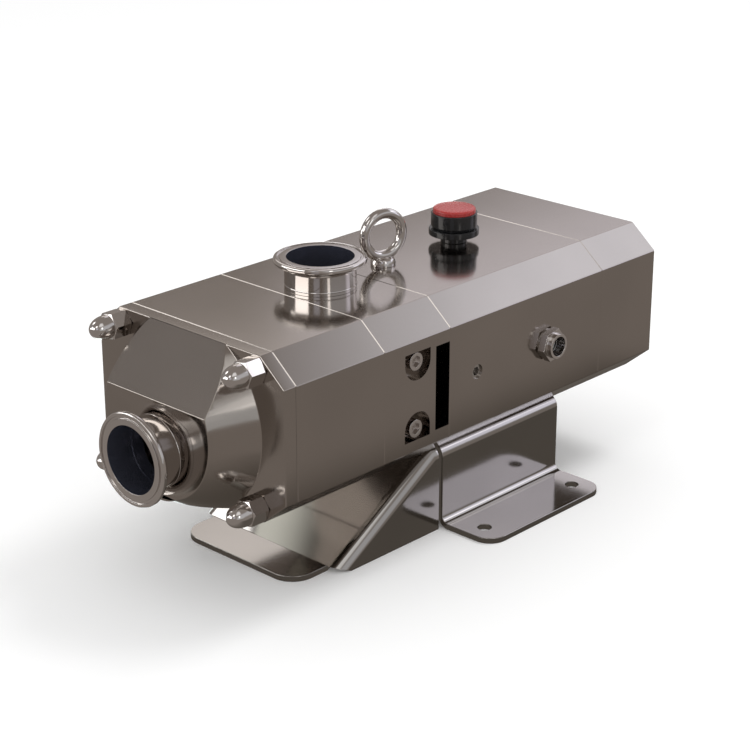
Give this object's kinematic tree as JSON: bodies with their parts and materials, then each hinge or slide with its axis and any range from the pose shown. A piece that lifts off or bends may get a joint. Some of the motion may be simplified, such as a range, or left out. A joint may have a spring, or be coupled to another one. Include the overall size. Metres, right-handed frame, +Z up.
{
  "type": "twin screw pump",
  "caption": "Sanitary twin screw pump: octagonal steel body with end inlet and top outlet ferrules, lifting eye, breather, bent plate feet and a keyed drive shaft.",
  "frame": {"origin": "centre of the rectangle of four foot bolt holes, at the underside of the feet", "axes": "+X along the shafts from the inlet ferrule to the drive shaft end, +Z up, +Y to the pump's left seen from the drive end"},
  "size_m": [0.6735, 0.3246, 0.3098],
  "materials": {
    "steel_satin": "satin brushed stainless",
    "steel_polished": "mirror polished stainless",
    "steel_feet": "ground stainless plate",
    "steel_bright": "machined steel",
    "chrome_nuts": "polished domed nuts",
    "black_plastic": "gloss black",
    "red_plastic": "gloss red",
    "seal_rubber": "black elastomer",
    "seal_face": "dark carbide seal face",
    "sight_glass": "clear lens",
    "gear_steel": "ground gear steel"
  },
  "bodies": {
    "housing": {"acorn_nuts": "chrome_nuts", "bearing_plate_screws": "steel_bright", "bracket_screws": "steel_bright", "breather_body": "black_plastic", "breather_cap": "black_plastic", "breather_disc": "red_plastic", "dowel_pins": "steel_bright", "eye_bolt": "steel_polished", "front_bearing_outer_rings": "gear_steel", "front_cover": "steel_satin", "front_cover_seal": "seal_rubber", "front_pedestal": "steel_feet", "gear_case": "steel_satin", "gear_case_lip_seals": "seal_rubber", "gland_screws": "steel_bright", "inlet_ferrule": "steel_polished", "input_lip_seal": "seal_rubber", "left_bracket": "steel_feet", "oil_plug": "steel_bright", "outlet_ferrule": "steel_polished", "pedestal_screws": "steel_bright", "port_housing": "steel_satin", "rear_bearing_outer_rings": "gear_steel", "rear_bearing_plate": "steel_bright", "rear_cover": "steel_satin", "rear_cover_screws": "steel_bright", "rear_cover_seal": "seal_rubber", "right_bracket": "steel_feet", "rotor_casing": "steel_satin", "rotor_casing_seal": "seal_rubber", "seal_gland_plate": "steel_bright", "seal_stationary_rings": "seal_face", "side_screws": "steel_polished", "sight_glass_body": "steel_polished", "sight_glass_gasket": "steel_bright", "sight_glass_lens": "sight_glass", "tie_rods": "steel_bright"},
    "drive_rotor": {"drive_bearing_inner_rings": "gear_steel", "drive_bearing_rollers": "gear_steel", "drive_gear": "gear_steel", "drive_gear_key": "steel_bright", "drive_lock_nut": "steel_bright", "drive_screw": "steel_polished", "drive_screw_key": "steel_bright", "drive_screw_nut": "steel_polished", "drive_seal_ring": "seal_face", "drive_shaft": "steel_bright", "drive_spacer": "steel_bright"},
    "driven_rotor": {"driven_bearing_inner_rings": "gear_steel", "driven_bearing_rollers": "gear_steel", "driven_gear": "gear_steel", "driven_gear_key": "steel_bright", "driven_lock_nut": "steel_bright", "driven_screw": "steel_polished", "driven_screw_key": "steel_bright", "driven_screw_nut": "steel_polished", "driven_seal_ring": "seal_face", "driven_shaft": "steel_bright", "driven_spacer": "steel_bright"}
  },
  "joints": [
    {"name": "drive_shaft_spin", "type": "hinge", "parent": "housing", "child": "drive_rotor", "pos_m": [0, 0.0375, 0.171], "axis": [1, 0, 0], "continuous": true},
    {"name": "driven_shaft_spin", "type": "hinge", "parent": "housing", "child": "driven_rotor", "pos_m": [0, -0.0375, 0.171], "axis": [1, 0, 0], "continuous": true}
  ],
  "couplings": [
    {"joint": "driven_shaft_spin", "follows": "drive_shaft_spin", "ratio": -1}
  ]
}
